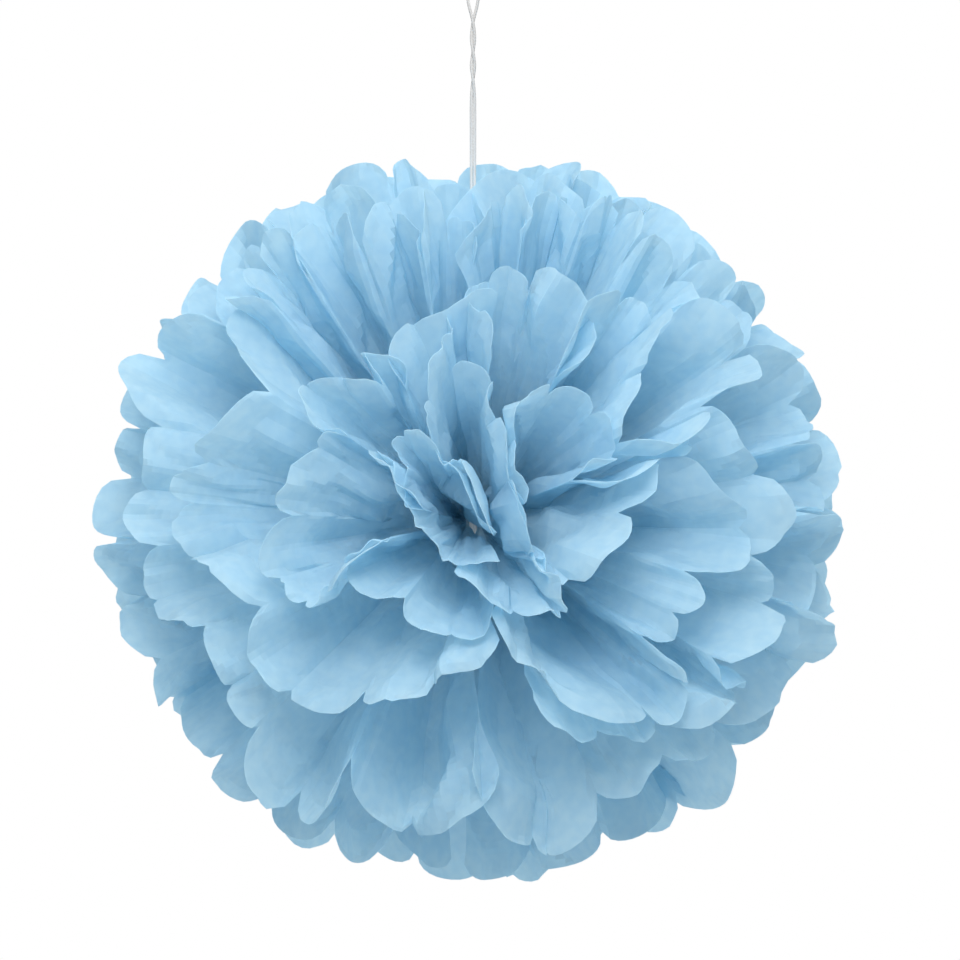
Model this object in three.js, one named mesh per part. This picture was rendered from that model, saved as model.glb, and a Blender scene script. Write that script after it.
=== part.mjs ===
// Tissue paper pom-pom: pleated sheets bound at their middle, fanned out to the left and right, and lifted
// apart one by one into a ball, which hangs from a doubled string.
// Millimetres, +Z up. The origin is where a hook carries the string's loop, and the ball faces -Y.
import * as THREE from 'three';

// One sheet before it is folded: pleats run along its length, and each end of a pleat is cut round.
const SHEET_LENGTH = 420;
const PLEATS = 18;
const PLEAT_WIDTH = 42;
const SCALLOP_DEPTH = 14;
const SCALLOP_ROUNDNESS = 0.65; // 0.5 makes an ellipse of the round end, 1 a parabola
const PAPER_THICKNESS = 0.3;
const SEAT_GAP = 0.3; // between pieces that touch

// How finely the paper is drawn: rows by their share of the way from the neck to the rim, the parts that
// a round end is cut into, and how far the thickness may stand out at a sharp fold.
const ROW_SHARES = [0.12, 0.5, 1];
const RIM_PARTS = 4;
const MITRE_LIMIT = 3;

// The gathered waist, where the pleats lie on each other inside the binding.
const LAYER_PITCH = PAPER_THICKNESS + SEAT_GAP;
const LAYER_SPREAD = 1; // by which each layer is wider and longer than the next one further out
const WAIST_WIDTH = 8;
const NECK_LENGTH = 4;

// The binding is a few turns of string round the waist.
const BINDING_TURNS = 3;
const BINDING_SIDES = 24;
const BINDING_RISES = [-0.8, 0, 0.8]; // where the outside of a turn is drawn, in radii of the string

// The hanging string is doubled, with a small loop at the top.
const STRING_DIAMETER = 1.5;
const STRING_SIDES = 8;
const STRING_STEPS = 96;
const HANG_DROP = 308;

// Where the folds of the front sheets end, read off the photograph in its pixels: sheet by sheet from the
// middle of the flower, first the right half and then the left one, each from top to bottom.
const FOLD_TIPS = [
  [
    [
      [452, 367], [491, 377], [494, 412], [526, 505], [512, 432], [550, 390], [592, 410],
      [606, 450], [566, 478], [653, 457], [612, 503], [566, 574], [545, 545], [532, 552],
      [506, 472], [516, 556], [562, 608], [520, 596], [455, 567],
    ],
    [
      [498, 350], [467, 305], [456, 330], [446, 346], [437, 395], [441, 441], [462, 452],
      [499, 536], [440, 457], [404, 432], [409, 458], [414, 482], [427, 508], [376, 444],
      [418, 513], [436, 528], [447, 547], [460, 556], [500, 552],
    ],
  ],
  [
    [
      [466, 296], [492, 290], [530, 281], [577, 320], [552, 380], [617, 302], [651, 328],
      [613, 374], [618, 440], [685, 418], [660, 455], [736, 528], [690, 565], [669, 608],
      [641, 634], [673, 672], [640, 711], [545, 668], [484, 617],
    ],
    [
      [481, 286], [438, 338], [405, 388], [362, 353], [385, 381], [345, 391], [308, 382],
      [335, 425], [352, 432], [330, 450], [279, 508], [290, 573], [305, 594], [335, 572],
      [398, 528], [358, 560], [400, 600], [453, 628], [497, 606],
    ],
  ],
  [
    [
      [466, 256], [505, 208], [517, 262], [564, 198], [575, 238], [622, 214], [607, 272],
      [674, 284], [648, 314], [735, 365], [690, 397], [757, 470], [757, 560], [760, 590],
      [700, 657], [738, 676], [655, 715], [600, 722], [531, 697],
    ],
    [
      [482, 246], [446, 220], [424, 270], [398, 216], [366, 266], [334, 226], [312, 284],
      [270, 266], [296, 322], [246, 300], [283, 392], [215, 470], [184, 500], [213, 528],
      [262, 602], [302, 678], [366, 699], [440, 668], [497, 631],
    ],
  ],
  [
    [
      [463, 222], [536, 180], [590, 194], [640, 214], [694, 252], [718, 300], [752, 345],
      [800, 402], [790, 442], [820, 478], [790, 507], [820, 555], [788, 600], [788, 655],
      [727, 733], [650, 738], [598, 792], [531, 786], [470, 769],
    ],
    [
      [482, 216], [425, 194], [380, 200], [322, 212], [285, 235], [248, 268], [208, 312],
      [164, 358], [152, 416], [152, 489], [148, 545], [170, 592], [200, 618], [254, 672],
      [257, 722], [308, 785], [342, 755], [418, 783], [484, 757],
    ],
  ],
  [
    [
      [488, 222], [538, 170], [572, 190], [612, 190], [645, 207], [690, 243], [716, 293],
      [747, 333], [779, 362], [815, 424], [832, 505], [822, 568], [814, 628], [767, 690],
      [735, 742], [668, 800], [600, 826], [530, 852], [456, 866],
    ],
    [
      [486, 222], [432, 188], [398, 190], [318, 200], [272, 222], [223, 290], [180, 315],
      [160, 360], [120, 425], [124, 475], [114, 540], [124, 600], [155, 662], [184, 695],
      [222, 755], [273, 786], [336, 818], [392, 832], [453, 866],
    ],
  ],
];
const PHOTO_CENTRE = [473, 517];
const PHOTO_RADIUS = 367.5; // of the ball
const VIEW_DISTANCE = 7.88; // from the camera to the ball's middle, in radii of the ball

// The outermost front sheet stands edge-on there, so its pleats are set by angles from the front pole.
// The sheets in front of it are drawn together near the outline to leave it room.
const RIM_RING = THREE.MathUtils.degToRad(84);
const RIM_ZIGZAG = THREE.MathUtils.degToRad(4);
const CROWD_START = THREE.MathUtils.degToRad(60);
const CROWD_SHARES = [0.75, 0.45]; // of the angle past the start, for valley and mountain folds

// How far the folds bow towards the middle of the flower, as a share of their distance from it: the
// petals of the inner sheets flare, those of the outermost one stand nearly straight.
const FOLD_BOWS = [0.55, 0.45, 0.36, 0.24, 0.1];

// Worked-out sizes.
const BALL_RADIUS = SHEET_LENGTH / 2;
const CUSP_RADIUS = BALL_RADIUS - SCALLOP_DEPTH; // where the folds end, between the round ends of the pleats
const CUSP_SHARE = CUSP_RADIUS / BALL_RADIUS;
const SHEET_COUNT = 2 * FOLD_TIPS.length;
const STACK_HALF = ((SHEET_COUNT - 1) * LAYER_PITCH) / 2;
const SHEETS = Array.from({ length: SHEET_COUNT }, (_, sheet) => sheet);
const BINDING_BORE = Math.max(...SHEETS.map(waistCorner)) + SEAT_GAP;
const BINDING_TOP = BINDING_BORE + STRING_DIAMETER;

const TISSUE = { color: 0x8fbde0, roughness: 0.9, metalness: 0 };
const STRING_WHITE = { color: 0xeceae6, roughness: 0.85, metalness: 0 };

// Direction with an angle from the front pole and an angle round it.
function direction(polar, round) {
  const level = Math.sin(polar);
  return new THREE.Vector3(level * Math.cos(round), -Math.cos(polar), level * Math.sin(round));
}

// Direction from the ball's middle to where the line of sight of a pixel meets the ends of the folds.
function sightDirection([pixelX, pixelY], fold) {
  const right = (pixelX - PHOTO_CENTRE[0]) / PHOTO_RADIUS;
  const up = (PHOTO_CENTRE[1] - pixelY) / PHOTO_RADIUS;
  const ray = new THREE.Vector3(right, Math.sqrt(VIEW_DISTANCE ** 2 - 1), up).normalize();
  const middle = VIEW_DISTANCE * ray.y;
  const inside = middle ** 2 - VIEW_DISTANCE ** 2 + CUSP_SHARE ** 2;
  const point = ray.multiplyScalar(middle - Math.sqrt(Math.max(0, inside)));
  point.sub(new THREE.Vector3(0, VIEW_DISTANCE, 0)).normalize();
  const polar = Math.acos(-point.y);
  const crowd = CROWD_SHARES[fold % 2] * Math.max(0, polar - CROWD_START);
  return direction(polar - crowd, Math.atan2(point.z, point.x));
}

// End of a fold of the outermost front sheet, in ball radii: the angle round and the reach come from the
// photograph, and the depth from the pleats.
function rimTip([pixelX, pixelY], fold) {
  const right = (pixelX - PHOTO_CENTRE[0]) / PHOTO_RADIUS;
  const up = (PHOTO_CENTRE[1] - pixelY) / PHOTO_RADIUS;
  const polar = RIM_RING + (fold % 2 ? RIM_ZIGZAG : -RIM_ZIGZAG);
  const reach = Math.min(CUSP_SHARE, Math.hypot(right, up) / Math.sin(polar));
  return direction(polar, Math.atan2(up, right)).multiplyScalar(reach);
}

// Sheets are counted from the middle of the flower on the front and from that on the back.
function ringOf(sheet) {
  return Math.min(sheet, SHEET_COUNT - 1 - sheet);
}

// Ends of the folds of half a sheet, from the ball's middle. The back of the ball is its front turned
// round.
function foldTips(sheet, side) {
  const front = sheet < FOLD_TIPS.length;
  const ring = ringOf(sheet);
  const outermost = ring === FOLD_TIPS.length - 1;
  const pixels = FOLD_TIPS[ring][front ? side : 1 - side];
  return pixels.map((pixel, fold) => {
    const tip = outermost ? rimTip(pixel, fold) : sightDirection(pixel, fold).multiplyScalar(CUSP_SHARE);
    tip.multiplyScalar(BALL_RADIUS);
    return front ? tip : new THREE.Vector3(-tip.x, -tip.y, tip.z).setLength(CUSP_RADIUS);
  });
}

// How far across its pleat a place is, from -1 at one fold to 1 at the next.
function pleatShare(across) {
  return 2 * (across - Math.min(PLEATS - 1, Math.floor(across))) - 1;
}

// The end of the paper at a place across half a sheet, without the round end of its pleat.
function cuspPoint(tips, across) {
  const place = (across / PLEATS) * (tips.length - 1);
  const fold = Math.min(tips.length - 2, Math.floor(place));
  const [start, end] = tips.slice(fold, fold + 2);
  const length = THREE.MathUtils.lerp(start.length(), end.length(), place - fold);
  return start.clone().lerp(end, place - fold).setLength(length);
}

// How far the round end of a pleat stands out past its folds. Pleats that are squeezed stand out less.
function scallop(tips, across) {
  const fold = Math.min(PLEATS - 1, Math.floor(across));
  const spread = cuspPoint(tips, fold).distanceTo(cuspPoint(tips, fold + 1));
  const depth = SCALLOP_DEPTH * Math.min(1, spread / PLEAT_WIDTH);
  return depth * (1 - pleatShare(across) ** 2) ** SCALLOP_ROUNDNESS;
}

// A place on the paper: the pleat number across the sheet, and the share of the way from the neck to the
// rim.
function paperPoint(sheet, side, across, share) {
  const tips = foldTips(sheet, side);
  const root = waistPoint(sheet, side, across, true);
  const way = cuspPoint(tips, across).sub(root);
  const reach = share * (1 + scallop(tips, across) / CUSP_RADIUS);
  const bow = 1 - FOLD_BOWS[ringOf(sheet)] * (1 - reach ** 2);
  return root.addScaledVector(way.multiply(new THREE.Vector3(bow, 1, bow)), reach);
}

// How far a layer of the waist is wider than the outermost one, on each side.
function layerSpread(sheet) {
  return LAYER_SPREAD * ringOf(sheet);
}

function layerHeight(sheet) {
  return sheet * LAYER_PITCH - STACK_HALF;
}

// Distance of a layer's corner from the middle of the waist.
function waistCorner(sheet) {
  return Math.hypot(WAIST_WIDTH / 2 + layerSpread(sheet), Math.abs(layerHeight(sheet)) + PAPER_THICKNESS / 2);
}

// A place in the gathered waist: at its middle, or at the neck where the fan starts.
function waistPoint(sheet, side, across, atNeck) {
  const neck = atNeck ? NECK_LENGTH + layerSpread(sheet) : 0;
  const width = WAIST_WIDTH + 2 * layerSpread(sheet);
  return new THREE.Vector3(side ? -neck : neck, layerHeight(sheet), width * (0.5 - across / PLEATS));
}

// Rows of points along one half of a sheet from the neck to the rim: how many parts each cuts a pleat
// into, how far the thickness may stand out at a sharp fold, and where its points lie.
const PAPER_ROWS = [
  { parts: 1, mitre: 1, place: (sheet, side, across) => waistPoint(sheet, side, across, true) },
  ...ROW_SHARES.map((share) => ({
    parts: share < 1 ? 1 : RIM_PARTS,
    mitre: MITRE_LIMIT,
    place: (sheet, side, across) => paperPoint(sheet, side, across, share),
  })),
];

// Triangles between two rows of point numbers, the outer row cut as finely or finer.
function stitch(inner, outer, turned, triangles) {
  const ratio = (outer.length - 1) / (inner.length - 1);
  const add = (a, b, c) => triangles.push(turned ? [a, c, b] : [a, b, c]);
  for (let i = 0; i + 1 < inner.length; i++) {
    const middle = i * ratio + Math.ceil(ratio / 2);
    for (let k = i * ratio; k < middle; k++) add(inner[i], outer[k], outer[k + 1]);
    add(inner[i], outer[middle], inner[i + 1]);
    for (let k = middle; k < (i + 1) * ratio; k++) add(inner[i + 1], outer[k], outer[k + 1]);
  }
}

// The middle surface of a sheet: one row of points in the binding, and the rows of the two halves from
// there.
function sheetSurface(sheet) {
  const points = [];
  const mitres = [];
  const triangles = [];
  const addRow = (parts, mitre, place) => {
    const count = PLEATS * parts + 1;
    mitres.push(...Array(count).fill(mitre));
    return Array.from({ length: count }, (_, i) => points.push(place(i / parts)) - 1);
  };
  const waist = addRow(1, 1, (across) => waistPoint(sheet, 0, across, false));
  for (const side of [0, 1]) {
    let inner = waist;
    for (const row of PAPER_ROWS) {
      const outer = addRow(row.parts, row.mitre, (across) => row.place(sheet, side, across));
      stitch(inner, outer, side === 1, triangles);
      inner = outer;
    }
  }
  return { points, mitres, triangles };
}

// Offset of each point of a surface that puts its faces half the thickness away, up to the point's mitre.
// Weighing the faces by their angles at the point lets both sides of a sharp fold count the same.
function halfThickness({ points, mitres, triangles }, thickness) {
  const turns = triangles.flatMap(([a, b, c]) => [[a, b, c], [b, c, a], [c, a, b]]);
  const corners = turns.map(([point, next, last]) => {
    const onward = points[next].clone().sub(points[point]);
    const back = points[last].clone().sub(points[point]);
    return { point, angle: onward.angleTo(back), normal: onward.cross(back).normalize() };
  });
  const sums = points.map(() => new THREE.Vector3());
  corners.forEach(({ point, angle, normal }) => sums[point].addScaledVector(normal, angle));
  sums.forEach((sum) => sum.normalize());
  const nearest = points.map(() => 1);
  corners.forEach(({ point, normal }) => {
    nearest[point] = Math.min(nearest[point], sums[point].dot(normal));
  });
  return sums.map((sum, i) => {
    const mitre = Math.min(mitres[i], 1 / Math.max(nearest[i], 1 / MITRE_LIMIT));
    return sum.multiplyScalar((mitre * thickness) / 2);
  });
}

// A closed solid of even thickness round an open surface.
function thicken(surface, thickness) {
  const { points, triangles } = surface;
  const offsets = halfThickness(surface, thickness);
  const front = points.map((p, i) => p.clone().add(offsets[i]));
  const back = points.map((p, i) => p.clone().sub(offsets[i]));
  const count = points.length;
  const faces = triangles.flatMap(([a, b, c]) => [a, b, c, a + count, c + count, b + count]);
  const edges = new Set(triangles.flatMap(([a, b, c]) => [`${a} ${b}`, `${b} ${c}`, `${c} ${a}`]));
  for (const edge of edges) {
    const [a, b] = edge.split(' ').map(Number);
    if (!edges.has(`${b} ${a}`)) faces.push(b, a, a + count, b, a + count, b + count);
  }
  const geometry = new THREE.BufferGeometry().setFromPoints([...front, ...back]);
  geometry.setIndex(faces);
  geometry.computeVertexNormals();
  return geometry;
}

function tissueSheet(sheet) {
  const geometry = thicken(sheetSurface(sheet), PAPER_THICKNESS);
  return namedMesh(`tissue_sheet_${String(sheet + 1).padStart(2, '0')}`, geometry, TISSUE);
}

// Turns of string side by side round the waist, as one ring about the X axis.
function waistBinding() {
  const radius = STRING_DIAMETER / 2;
  const width = BINDING_TURNS * STRING_DIAMETER;
  const profile = [new THREE.Vector2(BINDING_BORE, width / 2), new THREE.Vector2(BINDING_BORE, -width / 2)];
  for (let turn = 0; turn < BINDING_TURNS; turn++) {
    const middle = (turn + 0.5) * STRING_DIAMETER - width / 2;
    for (const rise of BINDING_RISES) {
      const crown = BINDING_BORE + radius + Math.sqrt(1 - rise * rise) * radius;
      profile.push(new THREE.Vector2(crown, middle + rise * radius));
    }
  }
  profile.push(profile[0].clone());
  const geometry = new THREE.LatheGeometry(profile, BINDING_SIDES).rotateZ(Math.PI / 2);
  return namedMesh('waist_binding', geometry, STRING_WHITE);
}

// Route of the doubled string from the binding up to the loop and back: the two strands lie side by side,
// twist round each other below the loop, and open into it.
const STRAND = 0.95;
const STRING_FOOT = BINDING_TOP + SEAT_GAP - HANG_DROP;
const STRAND_RISE = [
  [STRAND, 0, STRING_FOOT],
  [STRAND, 0, -250],
  [STRAND, 0, -190],
  [STRAND, 0, -130],
  [STRAND, 0, -95],
  [STRAND, 0, -68],
  [0, -STRAND, -56],
  [-STRAND, 0, -48],
  [0, STRAND, -40],
  [STRAND, 0, -32],
  [0, -STRAND, -23],
  [-2.2, -0.5, -14],
  [-3.4, 0, -6.5],
  [-2.6, 0, -1.5],
];
const LOOP_TOP = [0, 0, STRING_DIAMETER / 2];

function hangingString() {
  const rise = STRAND_RISE.map((p) => new THREE.Vector3(...p));
  const fall = STRAND_RISE.map(([x, y, z]) => new THREE.Vector3(-x, -y, z)).reverse();
  const route = new THREE.CatmullRomCurve3([...rise, new THREE.Vector3(...LOOP_TOP), ...fall]);
  const section = new THREE.Shape();
  for (let i = 0; i < STRING_SIDES; i++) {
    const angle = (2 * Math.PI * i) / STRING_SIDES;
    const x = (STRING_DIAMETER / 2) * Math.cos(angle);
    const y = (STRING_DIAMETER / 2) * Math.sin(angle);
    if (i === 0) section.moveTo(x, y);
    else section.lineTo(x, y);
  }
  const options = { steps: STRING_STEPS, bevelEnabled: false, extrudePath: route };
  return namedMesh('hanging_string', new THREE.ExtrudeGeometry(section, options), STRING_WHITE);
}

function namedMesh(name, geometry, finish) {
  const mesh = new THREE.Mesh(geometry, new THREE.MeshStandardMaterial(finish));
  mesh.name = name;
  return mesh;
}

const ball = new THREE.Group();
ball.position.set(0, 0, -HANG_DROP);
ball.add(...SHEETS.map(tissueSheet));
ball.add(waistBinding());

const pomPom = new THREE.Group();
pomPom.add(ball, hangingString());

export default pomPom;
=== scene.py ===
import math

import bpy
import numpy as np
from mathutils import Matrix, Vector


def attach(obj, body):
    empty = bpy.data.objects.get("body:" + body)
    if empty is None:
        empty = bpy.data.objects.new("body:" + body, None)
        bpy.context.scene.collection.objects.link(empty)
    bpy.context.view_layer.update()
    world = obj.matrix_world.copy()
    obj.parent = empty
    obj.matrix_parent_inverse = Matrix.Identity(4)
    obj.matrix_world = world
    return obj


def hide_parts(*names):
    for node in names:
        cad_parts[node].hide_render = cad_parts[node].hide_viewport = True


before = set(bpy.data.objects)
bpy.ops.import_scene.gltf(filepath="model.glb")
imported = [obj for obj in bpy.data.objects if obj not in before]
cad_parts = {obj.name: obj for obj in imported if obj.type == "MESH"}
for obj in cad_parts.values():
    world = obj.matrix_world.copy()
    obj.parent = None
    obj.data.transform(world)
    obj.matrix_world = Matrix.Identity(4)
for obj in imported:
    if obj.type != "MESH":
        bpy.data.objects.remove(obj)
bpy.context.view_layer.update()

# A light blue tissue paper pom-pom on a doubled white string. The sheets repeat the construction of the CAD
# solids with finer paper; lengths in these constants are millimetres, and everything placed is in metres.
MM = 0.001

# One sheet before it is folded.
SHEET_LENGTH = 420
PLEATS = 18
PLEAT_WIDTH = 42
SCALLOP_DEPTH = 14
SCALLOP_ROUNDNESS = 0.65

# The gathered waist.
LAYER_PITCH = 0.6
LAYER_SPREAD = 1
WAIST_WIDTH = 8
NECK_LENGTH = 4
HANG_DROP = 308

# Where the folds of the front sheets end, read off the photograph in its pixels: sheet by sheet from
# the middle of the flower, first the right half and then the left one, each from top to bottom.
FOLD_TIPS = [
    [
        [
            (452, 367), (491, 377), (494, 412), (526, 505), (512, 432), (550, 390), (592, 410),
            (606, 450), (566, 478), (653, 457), (612, 503), (566, 574), (545, 545), (532, 552),
            (506, 472), (516, 556), (562, 608), (520, 596), (455, 567),
        ],
        [
            (498, 350), (467, 305), (456, 330), (446, 346), (437, 395), (441, 441), (462, 452),
            (499, 536), (440, 457), (404, 432), (409, 458), (414, 482), (427, 508), (376, 444),
            (418, 513), (436, 528), (447, 547), (460, 556), (500, 552),
        ],
    ],
    [
        [
            (466, 296), (492, 290), (530, 281), (577, 320), (552, 380), (617, 302), (651, 328),
            (613, 374), (618, 440), (685, 418), (660, 455), (736, 528), (690, 565), (669, 608),
            (641, 634), (673, 672), (640, 711), (545, 668), (484, 617),
        ],
        [
            (481, 286), (438, 338), (405, 388), (362, 353), (385, 381), (345, 391), (308, 382),
            (335, 425), (352, 432), (330, 450), (279, 508), (290, 573), (305, 594), (335, 572),
            (398, 528), (358, 560), (400, 600), (453, 628), (497, 606),
        ],
    ],
    [
        [
            (466, 256), (505, 208), (517, 262), (564, 198), (575, 238), (622, 214), (607, 272),
            (674, 284), (648, 314), (735, 365), (690, 397), (757, 470), (757, 560), (760, 590),
            (700, 657), (738, 676), (655, 715), (600, 722), (531, 697),
        ],
        [
            (482, 246), (446, 220), (424, 270), (398, 216), (366, 266), (334, 226), (312, 284),
            (270, 266), (296, 322), (246, 300), (283, 392), (215, 470), (184, 500), (213, 528),
            (262, 602), (302, 678), (366, 699), (440, 668), (497, 631),
        ],
    ],
    [
        [
            (463, 222), (536, 180), (590, 194), (640, 214), (694, 252), (718, 300), (752, 345),
            (800, 402), (790, 442), (820, 478), (790, 507), (820, 555), (788, 600), (788, 655),
            (727, 733), (650, 738), (598, 792), (531, 786), (470, 769),
        ],
        [
            (482, 216), (425, 194), (380, 200), (322, 212), (285, 235), (248, 268), (208, 312),
            (164, 358), (152, 416), (152, 489), (148, 545), (170, 592), (200, 618), (254, 672),
            (257, 722), (308, 785), (342, 755), (418, 783), (484, 757),
        ],
    ],
    [
        [
            (488, 222), (538, 170), (572, 190), (612, 190), (645, 207), (690, 243), (716, 293),
            (747, 333), (779, 362), (815, 424), (832, 505), (822, 568), (814, 628), (767, 690),
            (735, 742), (668, 800), (600, 826), (530, 852), (456, 866),
        ],
        [
            (486, 222), (432, 188), (398, 190), (318, 200), (272, 222), (223, 290), (180, 315),
            (160, 360), (120, 425), (124, 475), (114, 540), (124, 600), (155, 662), (184, 695),
            (222, 755), (273, 786), (336, 818), (392, 832), (453, 866),
        ],
    ],
]
PHOTO_CENTRE = (473, 517)
PHOTO_RADIUS = 367.5
VIEW_DISTANCE = 7.88  # from the camera to the ball's middle, in radii of the ball

# The outermost front sheet stands edge-on, and the sheets in front of it are drawn together to leave it room.
RIM_RING = math.radians(84)
RIM_ZIGZAG = math.radians(4)
CROWD_START = math.radians(60)
CROWD_SHARES = (0.75, 0.45)  # of the angle past the start, for valley and mountain folds
FOLD_BOWS = (0.55, 0.45, 0.36, 0.24, 0.1)
FOLD_OPENINGS = (2, 3, 9, 6, 6)  # places on each side of a fold over which the rim is opened out round
# By how much the rim's even and odd folds stand away from the middle of the flower, sheet by sheet.
FOLD_STANDS = ((0, 0), (-4, 4), (-5, 5), (-7, 14), (-20, 7))
OUTER_SHEETS = 2  # whose folds stand out more at the bottom
BOTTOM_STANDS = ((12, 16), (1, 2.4))  # folds, and how many times as far they stand out

# The finer paper.
PARTS_PER_PLEAT = 12
ROWS_PER_HALF = 48
ROW_CROWDING = 1.25  # over 1 draws the rows together towards the rim
PAPER_THICKNESS = 0.25
CREASE_ANGLE = math.radians(9)  # from which a bend shows as a sharp crease
FOLD_ROUNDING = 1  # places on each side of a fold over which it is rounded before it is opened out

# What chance does to the rim: shares of the scallops' sizes, least and most, and the short straight snips.
FIRST_SEED = 100
LOBE_DEPTHS = (0.5, 1.35)
LOBE_ROUNDNESS = (0.65, 1.05)
LOBE_SKEW = 0.25
TOP_LOBE = 0.5  # left of the depth of the lobe at the string
SNIPS_PER_PLEAT = 4
SNIP_DEPTH = 1.8
STAND_SHARES = (0.4, 1.2)  # of what the folds stand out

# What handling does to the paper. A curl and a lip have a mean height and a spread of it, and start at a
# share of the way out.
BULGE = 6
SWELL = 1.5
SWELL_GRAIN = 50
NOISE_GAIN = 1.6  # makes up for what smoothing takes from the noise
FOLD_LINE_HALF_WIDTH = 0.25  # of a pleat
FOLD_LINE_HEIGHT = 2.4
FACETS = ((30, 4.5), (15, 3.2))  # sizes and heights
FACET_WANDER = 0.35  # of a facet's size
CURL = (2.5, 4.5)
CURL_START = 0.7
LIP = (1.5, 2.5)
LIP_START = 0.9
CREASES_PER_PLEAT = 3
CREASE_PLACES = (0.5, 1.05)  # shares of the way out
CREASE_TURN = 0.15  # spread of the angle between crease and pleat, in radians
CREASE_HALF_LENGTHS = (50, 130)
CREASE_HALF_WIDTHS = (6, 14)
CREASE_SLOPES = (0.15, 0.4)

# Worked-out sizes.
BALL_RADIUS = SHEET_LENGTH / 2
CUSP_RADIUS = BALL_RADIUS - SCALLOP_DEPTH
CUSP_SHARE = CUSP_RADIUS / BALL_RADIUS
SHEET_COUNT = 2 * len(FOLD_TIPS)
STACK_HALF = (SHEET_COUNT - 1) * LAYER_PITCH / 2
BALL_CENTRE = Vector((0, 0, -HANG_DROP * MM))
FOLDS = np.arange(PLEATS + 1)
ACROSS = np.linspace(0, PLEATS, PLEATS * PARTS_PER_PLEAT + 1)  # places across half a sheet, in pleats
PANEL = np.minimum(PLEATS - 1, np.floor(ACROSS)).astype(int)  # the pleat of each place
PLEAT_SHARE = 2 * (ACROSS - PANEL) - 1  # from -1 at one fold of the pleat to 1 at the other
# How far out the rows of half a sheet lie, as shares of the way to the rim.
SHARES = 1 - (1 - np.linspace(0, 1, ROWS_PER_HALF + 1)[1:, None]) ** ROW_CROWDING
SPLINE_DEGREE = 3
SHORT_OF_END = 1e-6
NO_LENGTH = 1e-9


def direction(polar, turn):
    """The direction with an angle from the front pole and an angle round it."""
    level = math.sin(polar)
    return np.array([level * math.cos(turn), -math.cos(polar), level * math.sin(turn)])


def seen_place(pixel):
    """A pixel's place right of and above the ball's middle, in ball radii."""
    return (pixel[0] - PHOTO_CENTRE[0]) / PHOTO_RADIUS, (PHOTO_CENTRE[1] - pixel[1]) / PHOTO_RADIUS


def sight_direction(pixel, fold):
    """The direction from the ball's middle to where a pixel's line of sight meets the ends of the folds."""
    right, up = seen_place(pixel)
    ray = np.array([right, math.sqrt(VIEW_DISTANCE**2 - 1), up])
    ray /= np.linalg.norm(ray)
    middle = VIEW_DISTANCE * ray[1]
    inside = middle**2 - VIEW_DISTANCE**2 + CUSP_SHARE**2
    point = ray * (middle - math.sqrt(max(0, inside))) - np.array([0, VIEW_DISTANCE, 0])
    polar = math.acos(-point[1] / np.linalg.norm(point))
    crowd = CROWD_SHARES[fold % 2] * max(0, polar - CROWD_START)
    return direction(polar - crowd, math.atan2(point[2], point[0]))


def rim_tip(pixel, fold):
    """The end of a fold of the outermost front sheet, in ball radii."""
    right, up = seen_place(pixel)
    polar = RIM_RING + (RIM_ZIGZAG if fold % 2 else -RIM_ZIGZAG)
    reach = min(CUSP_SHARE, math.hypot(right, up) / math.sin(polar))
    return direction(polar, math.atan2(up, right)) * reach


def ring_of(sheet):
    """Sheets are counted from the middle of the flower on the front and from that on the back."""
    return min(sheet, SHEET_COUNT - 1 - sheet)


def fold_tips(sheet, side):
    """The ends of the folds of half a sheet. The back of the ball is its front turned round."""
    ring = ring_of(sheet)
    front = sheet == ring
    outermost = ring == len(FOLD_TIPS) - 1
    tips = []
    for fold, pixel in enumerate(FOLD_TIPS[ring][side if front else 1 - side]):
        tip = rim_tip(pixel, fold) if outermost else sight_direction(pixel, fold) * CUSP_SHARE
        if not front:
            tip = tip * [-1, -1, 1] / np.linalg.norm(tip) * CUSP_SHARE
        tips.append(tip * BALL_RADIUS)
    return np.array(tips)


def layer_spread(sheet):
    """How much further each way a sheet reaches at the waist than the one at the middle of the flower."""
    return LAYER_SPREAD * ring_of(sheet)


def waist_points(sheet, neck):
    """A row of points across the gathered waist, at a distance from its middle."""
    width = WAIST_WIDTH + 2 * layer_spread(sheet)
    layer = sheet * LAYER_PITCH - STACK_HALF
    height = width * (0.5 - ACROSS / PLEATS)
    return np.stack([np.full_like(ACROSS, neck), np.full_like(ACROSS, layer), height], -1)


def soften(values, reach):
    """Rounds the sharp turns of a row of values over a reach of places."""
    kernel = np.hanning(2 * reach + 3)[1:-1]
    kernel /= kernel.sum()
    padded = np.pad(values, reach, mode="reflect", reflect_type="odd")
    return np.convolve(padded, kernel, mode="valid")


def cusp_row(tips, reach):
    """The ends of the paper across half a sheet, without the round ends of the pleats."""
    row = np.stack([soften(np.interp(ACROSS, FOLDS, tips[:, k]), reach) for k in range(3)], -1)
    length = np.interp(ACROSS, FOLDS, np.linalg.norm(tips, axis=1))
    return row / np.linalg.norm(row, axis=1, keepdims=True) * length[:, None]


def spline_weights(count, places):
    """Weights of a row of control values for a smooth curve through the given number of places."""
    at = np.linspace(0, count - SPLINE_DEGREE - SHORT_OF_END, places)
    cell = np.floor(at).astype(int)
    t = at - cell
    weights = np.zeros((places, count))
    parts = [(1 - t) ** 3, 3 * t**3 - 6 * t**2 + 4, -3 * t**3 + 3 * t**2 + 3 * t + 1, t**3]
    for k, part in enumerate(parts):
        weights[np.arange(places), cell + k] = part / 6
    return weights


def paper_noise(rng, grain):
    """Smooth noise over half a sheet, with lumps of about the given size in millimetres."""
    rows = max(1, round(CUSP_RADIUS / grain)) + SPLINE_DEGREE
    columns = max(1, round(PLEATS * PLEAT_WIDTH / grain)) + SPLINE_DEGREE
    grid = rng.standard_normal((rows, columns)) * NOISE_GAIN
    return spline_weights(rows, len(SHARES)) @ grid @ spline_weights(columns, len(ACROSS)).T


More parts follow.
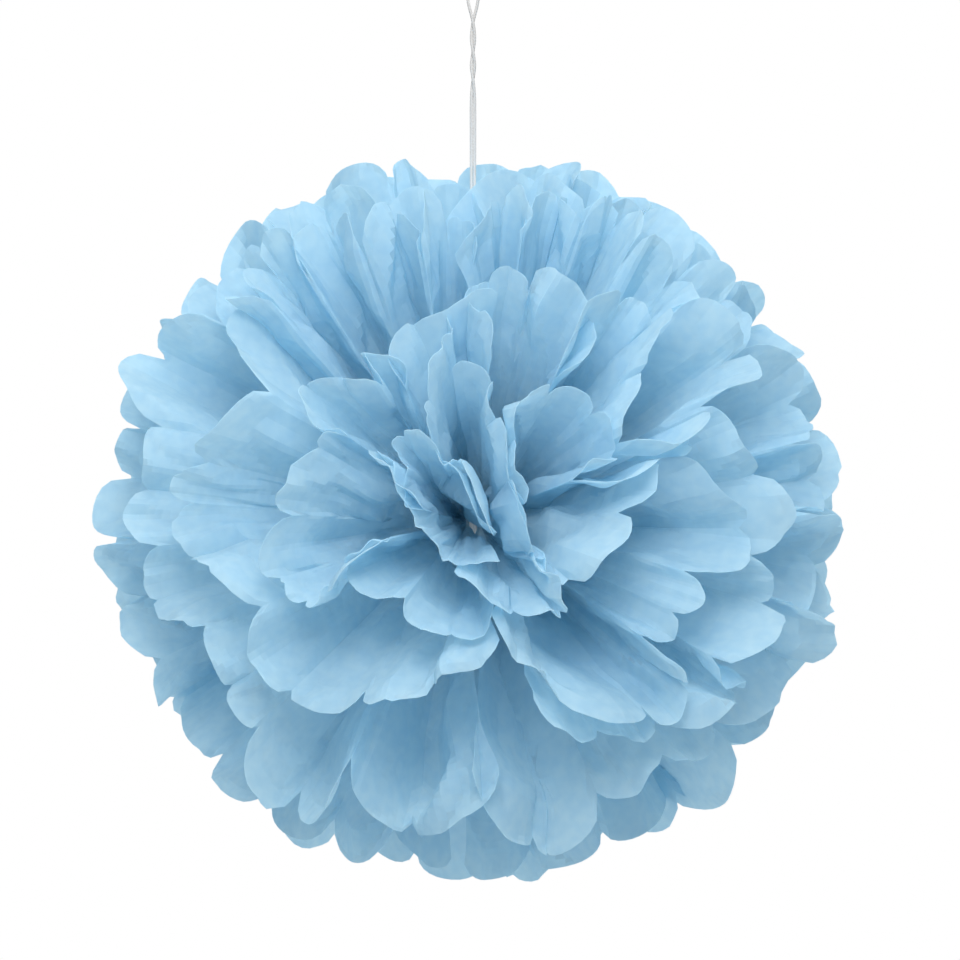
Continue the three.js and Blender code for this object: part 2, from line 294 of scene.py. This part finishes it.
def crease(rng, place, turn, half_length, half_width, slope):
    """One straight crease, as the height of the ridge that it leaves: place is along and across the sheet."""
    right = ACROSS[None, :] * PLEAT_WIDTH - place[1]
    up = SHARES * CUSP_RADIUS - place[0]
    lengthwise = (up * math.cos(turn) + right * math.sin(turn)) / half_length
    sideways = (right * math.cos(turn) - up * math.sin(turn)) / half_width
    ridge = np.clip(1 - np.abs(sideways), 0, 1) * np.clip(1 - lengthwise**2, 0, 1)
    return rng.choice([-1, 1]) * slope * half_width * ridge


def creases(rng):
    """The long creases along the pleats that handling left in half a sheet."""
    height = np.zeros((len(SHARES), len(ACROSS)))
    for _ in range(CREASES_PER_PLEAT * PLEATS):
        place = rng.uniform(*CREASE_PLACES) * CUSP_RADIUS, rng.uniform(0, PLEATS) * PLEAT_WIDTH
        turn = rng.normal(0, CREASE_TURN)
        half_length = rng.uniform(*CREASE_HALF_LENGTHS)
        half_width = rng.uniform(*CREASE_HALF_WIDTHS)
        height += crease(rng, place, turn, half_length, half_width, rng.uniform(*CREASE_SLOPES))
    return height


def facets(rng, grain, height):
    """Flat facets of crumpled paper over half a sheet, of about the given size and height in millimetres."""
    right = ACROSS[None, :] * PLEAT_WIDTH / grain + FACET_WANDER * paper_noise(rng, 2 * grain)
    up = SHARES * CUSP_RADIUS / grain + FACET_WANDER * paper_noise(rng, 2 * grain)
    right -= right.min()
    up -= up.min()
    column, row = np.floor(right).astype(int), np.floor(up).astype(int)
    right -= column
    up -= row
    corners = rng.standard_normal((row.max() + 2, column.max() + 2)) * height
    first, last = corners[row, column], corners[row + 1, column + 1]
    beside, above = corners[row, column + 1], corners[row + 1, column]
    lower = first + right * (beside - first) + up * (above - first)
    upper = last + (1 - right) * (above - last) + (1 - up) * (beside - last)
    return np.where(right + up < 1, lower, upper)


def fold_bends(tips):
    """How far each fold is bent, from 0 on the flat to 1 where the paper goes right back."""
    pleats = np.diff(tips, axis=0)
    pleats /= np.linalg.norm(pleats, axis=1, keepdims=True)
    bent = (1 - np.sum(pleats[1:] * pleats[:-1], axis=1)) / 2
    return np.concatenate([[0], bent, [0]])


def fold_ease(bent):
    """How freely the paper may leave its pleats: 1 on the flat, 0 at a fold that is bent right back."""
    before = np.clip(-PLEAT_SHARE, 0, 1) ** 2
    after = np.clip(PLEAT_SHARE, 0, 1) ** 2
    return 1 - bent[PANEL] * before - bent[PANEL + 1] * after


def room_across(spread):
    """How far the pleats are spread out, across half a sheet: narrow ones leave the paper little room."""
    share = np.minimum(1, spread / PLEAT_WIDTH)
    at_folds = np.concatenate([share[:1], (share[1:] + share[:-1]) / 2, share[-1:]])
    return np.interp(ACROSS, FOLDS, at_folds)


def rim_lobes(rng, opened):
    """How far the cut ends of the pleats reach past their folds, no two alike and cut in straight snips."""
    depth = SCALLOP_DEPTH * opened * rng.uniform(*LOBE_DEPTHS, PLEATS)
    depth[0] *= TOP_LOBE
    skew = rng.uniform(-LOBE_SKEW, LOBE_SKEW, PLEATS)
    roundness = SCALLOP_ROUNDNESS * rng.uniform(*LOBE_ROUNDNESS, PLEATS)
    across = PLEAT_SHARE + skew[PANEL] * (1 - PLEAT_SHARE**2)
    lobes = depth[PANEL] * (1 - across**2) ** roundness[PANEL]
    snips = np.sort(rng.uniform(0, PLEATS, SNIPS_PER_PLEAT * PLEATS))
    return lobes + np.interp(ACROSS, snips, rng.uniform(-SNIP_DEPTH, SNIP_DEPTH, len(snips)))


def rim_stands(rng, ring, bent):
    """How far the rim stands away from the middle of the flower, up and down with the folds."""
    stands = np.take(FOLD_STANDS[ring], FOLDS % 2) * rng.uniform(*STAND_SHARES, PLEATS + 1) * (1 - bent**2)
    if ring >= len(FOLD_TIPS) - OUTER_SHEETS:
        stands *= np.interp(FOLDS, *BOTTOM_STANDS)
    stands[[0, -1]] = 0
    return soften(np.interp(ACROSS, FOLDS, stands), FOLD_ROUNDING)


def near_rim(start):
    """Rises from 0 at a share of the way out to 1 at the rim."""
    return np.clip((SHARES - start) / (1 - start), 0, 1) ** 2


def paper_lift(rng):
    """How far the paper leaves flat pleats: it bulges, keeps its fold lines, and is crumpled and curled."""
    bulge = rng.uniform(-BULGE, BULGE, PLEATS)[PANEL] * (1 - PLEAT_SHARE**2)
    curl = np.interp(ACROSS, FOLDS, rng.normal(*CURL, PLEATS + 1))
    nearest = np.round(ACROSS)
    fold_line = np.clip(1 - np.abs(ACROSS - nearest) / FOLD_LINE_HALF_WIDTH, 0, 1)
    fold_line *= np.where(nearest % 2, FOLD_LINE_HEIGHT, -FOLD_LINE_HEIGHT)
    lift = SHARES * (bulge + fold_line + SWELL * paper_noise(rng, SWELL_GRAIN) + creases(rng))
    lift += SHARES * sum(facets(rng, grain, height) for grain, height in FACETS)
    lip = np.interp(ACROSS, FOLDS, rng.normal(*LIP, PLEATS + 1))
    return lift + curl * near_rim(CURL_START) + lip * near_rim(LIP_START)


def away_from_middle(points, front):
    """Directions square to the radius of the ball, leading away from the middle of the flower."""
    outward = points / np.linalg.norm(points, axis=-1, keepdims=True)
    pole = np.array([0, -1 if front else 1, 0])
    away = outward * (outward @ pole)[..., None] - pole
    return away / np.maximum(np.linalg.norm(away, axis=-1, keepdims=True), NO_LENGTH)


def grid_normals(points):
    """Directions square to the paper at the points of a grid."""
    along = np.gradient(points, axis=0)
    across = np.gradient(points, axis=1)
    normals = np.cross(across, along)
    return normals / np.maximum(np.linalg.norm(normals, axis=-1, keepdims=True), NO_LENGTH)


def half_sheet(sheet, side):
    """Points of one half of a sheet, in rows from the neck to the rim."""
    rng = np.random.default_rng(FIRST_SEED + 2 * sheet + side)
    ring = ring_of(sheet)
    tips = fold_tips(sheet, side)
    roots = waist_points(sheet, (NECK_LENGTH + layer_spread(sheet)) * (-1 if side else 1))
    open_share = SHARES[..., None] ** 2
    folded = cusp_row(tips, FOLD_ROUNDING)[None]
    opened = cusp_row(tips, FOLD_OPENINGS[ring])[None]
    cusps = folded * (1 - open_share) + opened * open_share
    spread = np.linalg.norm(np.diff(tips, axis=0), axis=1)
    lobe = rim_lobes(rng, np.minimum(1, spread / PLEAT_WIDTH))
    reach = SHARES * (1 + lobe / CUSP_RADIUS)
    bow = 1 - FOLD_BOWS[ring] * (1 - reach**2)
    way = cusps - roots[None]
    way[..., 0] *= bow
    way[..., 2] *= bow
    points = roots[None] + way * reach[..., None]
    bent = fold_bends(tips)
    stand = SHARES * rim_stands(rng, ring, bent)
    lift = paper_lift(rng) * (fold_ease(bent) * room_across(spread))
    outward = (1 if side else -1) * (1 if sheet == ring else -1)
    points += grid_normals(points) * lift[..., None] * outward
    points += away_from_middle(points, sheet == ring) * stand[..., None]
    return np.concatenate([roots[None], points])


def sheet_mesh(name, points):
    """A closed mesh of even thickness round a grid of points."""
    rows, columns = points.shape[:2]
    half = grid_normals(points) * PAPER_THICKNESS / 2
    vertices = np.concatenate([(points + half).reshape(-1, 3), (points - half).reshape(-1, 3)]) * MM
    vertices += np.array(BALL_CENTRE)
    at = np.arange(rows * columns).reshape(rows, columns)
    a, b, c, d = at[:-1, :-1], at[:-1, 1:], at[1:, 1:], at[1:, :-1]
    top = np.stack([a, b, c, d], -1).reshape(-1, 4)
    under = top[:, ::-1] + rows * columns
    rim = np.concatenate([at[0, :-1], at[:-1, -1], at[-1, :0:-1], at[:0:-1, 0]])
    following = np.roll(rim, -1)
    wall = np.stack([following, rim, rim + rows * columns, following + rows * columns], -1)
    faces = np.concatenate([top, under, wall])
    mesh = bpy.data.meshes.new(name)
    mesh.from_pydata(vertices, [], faces.tolist())
    mesh.validate()
    mesh.polygons.foreach_set("use_smooth", np.ones(len(faces), bool))
    mesh.update()
    mesh.set_sharp_from_angle(angle=CREASE_ANGLE)
    piece = bpy.data.objects.new(name, mesh)
    bpy.context.collection.objects.link(piece)
    return piece


def tissue_sheet(sheet, material):
    """The finer paper of one sheet, in place of its solid."""
    right = half_sheet(sheet, 0)
    left = half_sheet(sheet, 1)
    points = np.concatenate([left[::-1], waist_points(sheet, 0)[None], right])
    node = f"tissue_sheet_{sheet + 1:02d}"
    piece = sheet_mesh(f"paper_{node}", points)
    piece.data.materials.append(material)
    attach(piece, "root")
    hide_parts(node)


# Materials: each colour wanders between two by noise.

TISSUE_BLUES = ((0.69, 0.87, 0.96, 1), (0.75, 0.91, 0.98, 1))
TISSUE_STOPS = (0.32, 0.68)  # of the noise, where the two blues are reached
STRING_WHITES = ((0.72, 0.705, 0.685, 1), (0.9, 0.885, 0.865, 1))
FLOOR_GREY = (0.9, 0.9, 0.9, 1)


def new_material(name):
    """An empty material, with its nodes and links."""
    material = bpy.data.materials.new(name)
    material.use_nodes = True
    nodes = material.node_tree.nodes
    nodes.clear()
    return material, nodes, material.node_tree.links


def tissue_material():
    """Thin dull paper that lets light through, with fibres."""
    material, nodes, links = new_material("light_blue_tissue")
    place = nodes.new("ShaderNodeTexCoord")
    fibre = nodes.new("ShaderNodeTexNoise")
    fibre.inputs["Scale"].default_value = 160
    fibre.inputs["Detail"].default_value = 1
    links.new(place.outputs["Object"], fibre.inputs["Vector"])
    colour = nodes.new("ShaderNodeValToRGB")
    for stop, position, blue in zip(colour.color_ramp.elements, TISSUE_STOPS, TISSUE_BLUES):
        stop.position = position
        stop.color = blue
    links.new(fibre.outputs["Fac"], colour.inputs["Fac"])
    bump = nodes.new("ShaderNodeBump")
    bump.inputs["Strength"].default_value = 0.35
    bump.inputs["Distance"].default_value = 0.0015
    links.new(fibre.outputs["Fac"], bump.inputs["Height"])
    paper = nodes.new("ShaderNodeBsdfDiffuse")
    through = nodes.new("ShaderNodeBsdfTranslucent")
    mix = nodes.new("ShaderNodeMixShader")
    mix.inputs["Fac"].default_value = 0.68
    links.new(colour.outputs["Color"], paper.inputs["Color"])
    links.new(colour.outputs["Color"], through.inputs["Color"])
    links.new(bump.outputs["Normal"], paper.inputs["Normal"])
    links.new(bump.outputs["Normal"], through.inputs["Normal"])
    links.new(paper.outputs["BSDF"], mix.inputs[1])
    links.new(through.outputs["BSDF"], mix.inputs[2])
    out = nodes.new("ShaderNodeOutputMaterial")
    links.new(mix.outputs["Shader"], out.inputs["Surface"])
    return material


def string_material():
    """Dull white cotton."""
    material, nodes, links = new_material("white_string")
    place = nodes.new("ShaderNodeTexCoord")
    fuzz = nodes.new("ShaderNodeTexNoise")
    fuzz.inputs["Scale"].default_value = 2500
    links.new(place.outputs["Object"], fuzz.inputs["Vector"])
    colour = nodes.new("ShaderNodeValToRGB")
    for stop, white in zip(colour.color_ramp.elements, STRING_WHITES):
        stop.color = white
    links.new(fuzz.outputs["Fac"], colour.inputs["Fac"])
    cotton = nodes.new("ShaderNodeBsdfPrincipled")
    cotton.inputs["Roughness"].default_value = 0.9
    cotton.inputs["Specular IOR Level"].default_value = 0.2
    links.new(colour.outputs["Color"], cotton.inputs["Base Color"])
    out = nodes.new("ShaderNodeOutputMaterial")
    links.new(cotton.outputs["BSDF"], out.inputs["Surface"])
    return material


# Camera, light and floor.

PHOTO_SIDE = 960
CAMERA_DISTANCE = VIEW_DISTANCE * BALL_RADIUS * MM
SENSOR = 36
LAMPS = (  # name, place, width and watts
    ("key", (0.45, -1.6, 1.0), 0.8, 5),
    ("front", (-0.05, -0.95, 0.1), 0.4, 4.2),
    ("top", (0.0, -0.8, 1.2), 0.8, 4),
    ("back", (-0.3, 2.0, 0.5), 1.0, 7),
)
FLOOR_HALF_SIDE = 1.6
FLOOR_DROP = 1.1  # below the ball's middle


def photo_camera():
    """The camera at the photograph's distance, with the ball where the photograph has it."""
    focal_pixels = PHOTO_RADIUS * math.sqrt(VIEW_DISTANCE**2 - 1)
    metres_per_pixel = CAMERA_DISTANCE / focal_pixels
    data = bpy.data.cameras.new("camera")
    data.sensor_width = SENSOR
    data.lens = SENSOR * focal_pixels / PHOTO_SIDE
    camera = bpy.data.objects.new("camera", data)
    right = (PHOTO_SIDE / 2 - PHOTO_CENTRE[0]) * metres_per_pixel
    up = (PHOTO_CENTRE[1] - PHOTO_SIDE / 2) * metres_per_pixel
    camera.location = BALL_CENTRE + Vector((right, -CAMERA_DISTANCE, up))
    camera.rotation_euler = (math.pi / 2, 0, 0)
    bpy.context.collection.objects.link(camera)
    bpy.context.scene.camera = camera


def soft_lamp(name, place, size, watts):
    """A round lamp that faces the ball."""
    data = bpy.data.lights.new(name, "AREA")
    data.shape = "DISK"
    data.size = size
    data.energy = watts
    lamp = bpy.data.objects.new(name, data)
    lamp.location = place
    lamp.visible_camera = False
    lamp.rotation_euler = (BALL_CENTRE - Vector(place)).to_track_quat("-Z", "Y").to_euler()
    bpy.context.collection.objects.link(lamp)


def white_world():
    """White for what is seen, and a soft fill from above for what is lit."""
    world = bpy.data.worlds.new("studio")
    bpy.context.scene.world = world
    world.use_nodes = True
    nodes, links = world.node_tree.nodes, world.node_tree.links
    nodes.clear()
    path = nodes.new("ShaderNodeLightPath")
    seen = path.outputs["Is Camera Ray"]
    for kind in ("Is Glossy Ray", "Is Transmission Ray"):
        either = nodes.new("ShaderNodeMath")
        either.operation = "MAXIMUM"
        links.new(seen, either.inputs[0])
        links.new(path.outputs[kind], either.inputs[1])
        seen = either.outputs[0]
    place = nodes.new("ShaderNodeTexCoord")
    height = nodes.new("ShaderNodeSeparateXYZ")
    links.new(place.outputs["Generated"], height.inputs["Vector"])
    level = nodes.new("ShaderNodeMapRange")
    level.inputs["From Min"].default_value = -0.1
    level.inputs["To Min"].default_value = 0.02
    level.inputs["To Max"].default_value = 0.85
    links.new(height.outputs["Z"], level.inputs["Value"])
    fill = nodes.new("ShaderNodeBackground")
    fill.inputs["Color"].default_value = (0.96, 0.98, 1, 1)
    links.new(level.outputs["Result"], fill.inputs["Strength"])
    white = nodes.new("ShaderNodeBackground")
    white.inputs["Color"].default_value = (1, 1, 1, 1)
    white.inputs["Strength"].default_value = 1
    mix = nodes.new("ShaderNodeMixShader")
    links.new(seen, mix.inputs["Fac"])
    links.new(fill.outputs["Background"], mix.inputs[1])
    links.new(white.outputs["Background"], mix.inputs[2])
    out = nodes.new("ShaderNodeOutputWorld")
    links.new(mix.outputs["Shader"], out.inputs["Surface"])


def pale_floor():
    """A plain floor far below the ball."""
    floor_mesh = bpy.data.meshes.new("floor")
    side, depth = FLOOR_HALF_SIDE, BALL_CENTRE.z - FLOOR_DROP
    corners = [(-side, -side, depth), (side, -side, depth), (side, side, depth), (-side, side, depth)]
    floor_mesh.from_pydata(corners, [], [(0, 1, 2, 3)])
    floor = bpy.data.objects.new("floor", floor_mesh)
    bpy.context.collection.objects.link(floor)
    material, nodes, links = new_material("pale_floor")
    paint = nodes.new("ShaderNodeBsdfPrincipled")
    paint.inputs["Base Color"].default_value = FLOOR_GREY
    paint.inputs["Roughness"].default_value = 0.8
    out = nodes.new("ShaderNodeOutputMaterial")
    links.new(paint.outputs["BSDF"], out.inputs["Surface"])
    floor_mesh.materials.append(material)


def studio():
    """All that the ball is seen in."""
    bpy.context.scene.view_settings.view_transform = "Standard"
    white_world()
    for lamp in LAMPS:
        soft_lamp(*lamp)
    pale_floor()


# The doubled string, along the route of its solid.

STRING_DIAMETER = 1.5
STRING_SIDES = 18  # of its round
STRING_STEP = 0.6  # along the string
STRING_PLIES = 3
STRING_LAY = 5.5  # length in which the plies go round once
PLY_RADII = (0.95, 0.25)  # shares of the radius: in the grooves, and what the plies add to it
CURVE_PARTS = 40  # in a stretch between two points of the route
STRAND = 0.95  # from the middle of one strand to the middle of the two
STRING_RISE = [
    (STRAND, 0, -297.9),
    (STRAND, 0, -250),
    (STRAND, 0, -190),
    (STRAND, 0, -130),
    (STRAND, 0, -95),
    (STRAND, 0, -68),
    (0, -STRAND, -56),
    (-STRAND, 0, -48),
    (0, STRAND, -40),
    (STRAND, 0, -32),
    (0, -STRAND, -23),
    (-2.2, -0.5, -14),
    (-3.4, 0, -6.5),
    (-2.6, 0, -1.5),
]
LOOP_TOP = (0, 0, STRING_DIAMETER / 2)


def string_route():
    """Up one strand, over the loop and down the other."""
    fall = [(-x, -y, z) for x, y, z in reversed(STRING_RISE)]
    return np.array(STRING_RISE + [LOOP_TOP] + fall) * MM


def smooth_route(points, spacing):
    """Points at even spacing on a smooth curve through the route's points."""
    points = np.vstack([2 * points[0] - points[1], points, 2 * points[-1] - points[-2]])
    t = np.linspace(0, 1, CURVE_PARTS, endpoint=False)[:, None]
    pieces = []
    for p0, p1, p2, p3 in zip(points, points[1:], points[2:], points[3:]):
        slope1, slope2 = (p2 - p0) / 2, (p3 - p1) / 2
        pieces.append(
            (2 * t**3 - 3 * t**2 + 1) * p1 + (t**3 - 2 * t**2 + t) * slope1
            + (3 * t**2 - 2 * t**3) * p2 + (t**3 - t**2) * slope2
        )
    fine = np.vstack(pieces + [points[-2:-1]])
    gone = np.concatenate([[0], np.cumsum(np.linalg.norm(np.diff(fine, axis=0), axis=1))])
    places = np.linspace(0, gone[-1], round(gone[-1] / spacing) + 1)
    return np.stack([np.interp(places, gone, fine[:, k]) for k in range(3)], -1), gone[-1]


def path_frames(path):
    """Two directions square to a path at each of its points, which don't turn round it."""
    tangents = np.gradient(path, axis=0)
    tangents /= np.linalg.norm(tangents, axis=1, keepdims=True)
    sideways = np.array([0, 1.0, 0])
    first, second = [], []
    for tangent in tangents:
        sideways = sideways - tangent * sideways.dot(tangent)
        sideways /= np.linalg.norm(sideways)
        first.append(sideways)
        second.append(np.cross(tangent, sideways))
    return np.array(first), np.array(second)


def hanging_string(material):
    """The string with its twisted plies, in place of its solid."""
    path, length = smooth_route(string_route(), STRING_STEP * MM)
    first, second = path_frames(path)
    turn = np.linspace(0, 2 * math.pi, STRING_SIDES, endpoint=False)
    twist = 2 * math.pi * np.arange(len(path)) * STRING_STEP / STRING_LAY
    ply = np.abs(np.cos(STRING_PLIES / 2 * (turn[None, :] - twist[:, None])))
    radius = STRING_DIAMETER / 2 * MM * (PLY_RADII[0] + PLY_RADII[1] * ply)
    ring = np.cos(turn)[None, :, None] * first[:, None] + np.sin(turn)[None, :, None] * second[:, None]
    points = path[:, None] + ring * radius[..., None]
    at = np.arange(len(path) * STRING_SIDES).reshape(len(path), STRING_SIDES)
    after = np.roll(at, -1, axis=1)
    faces = np.stack([at[:-1], after[:-1], after[1:], at[1:]], -1).reshape(-1, 4).tolist()
    faces += [at[0, ::-1].tolist(), at[-1].tolist()]
    mesh = bpy.data.meshes.new("string_cord")
    mesh.from_pydata(points.reshape(-1, 3), [], faces)
    mesh.polygons.foreach_set("use_smooth", np.ones(len(faces), bool))
    mesh.update()
    piece = bpy.data.objects.new("string_cord", mesh)
    bpy.context.collection.objects.link(piece)
    mesh.materials.append(material)
    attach(piece, "root")
    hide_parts("hanging_string")


photo_camera()
string_white = string_material()
hanging_string(string_white)
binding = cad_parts["waist_binding"]
binding.data.materials.clear()
binding.data.materials.append(string_white)
tissue = tissue_material()
for sheet in range(SHEET_COUNT):
    tissue_sheet(sheet, tissue)
studio()
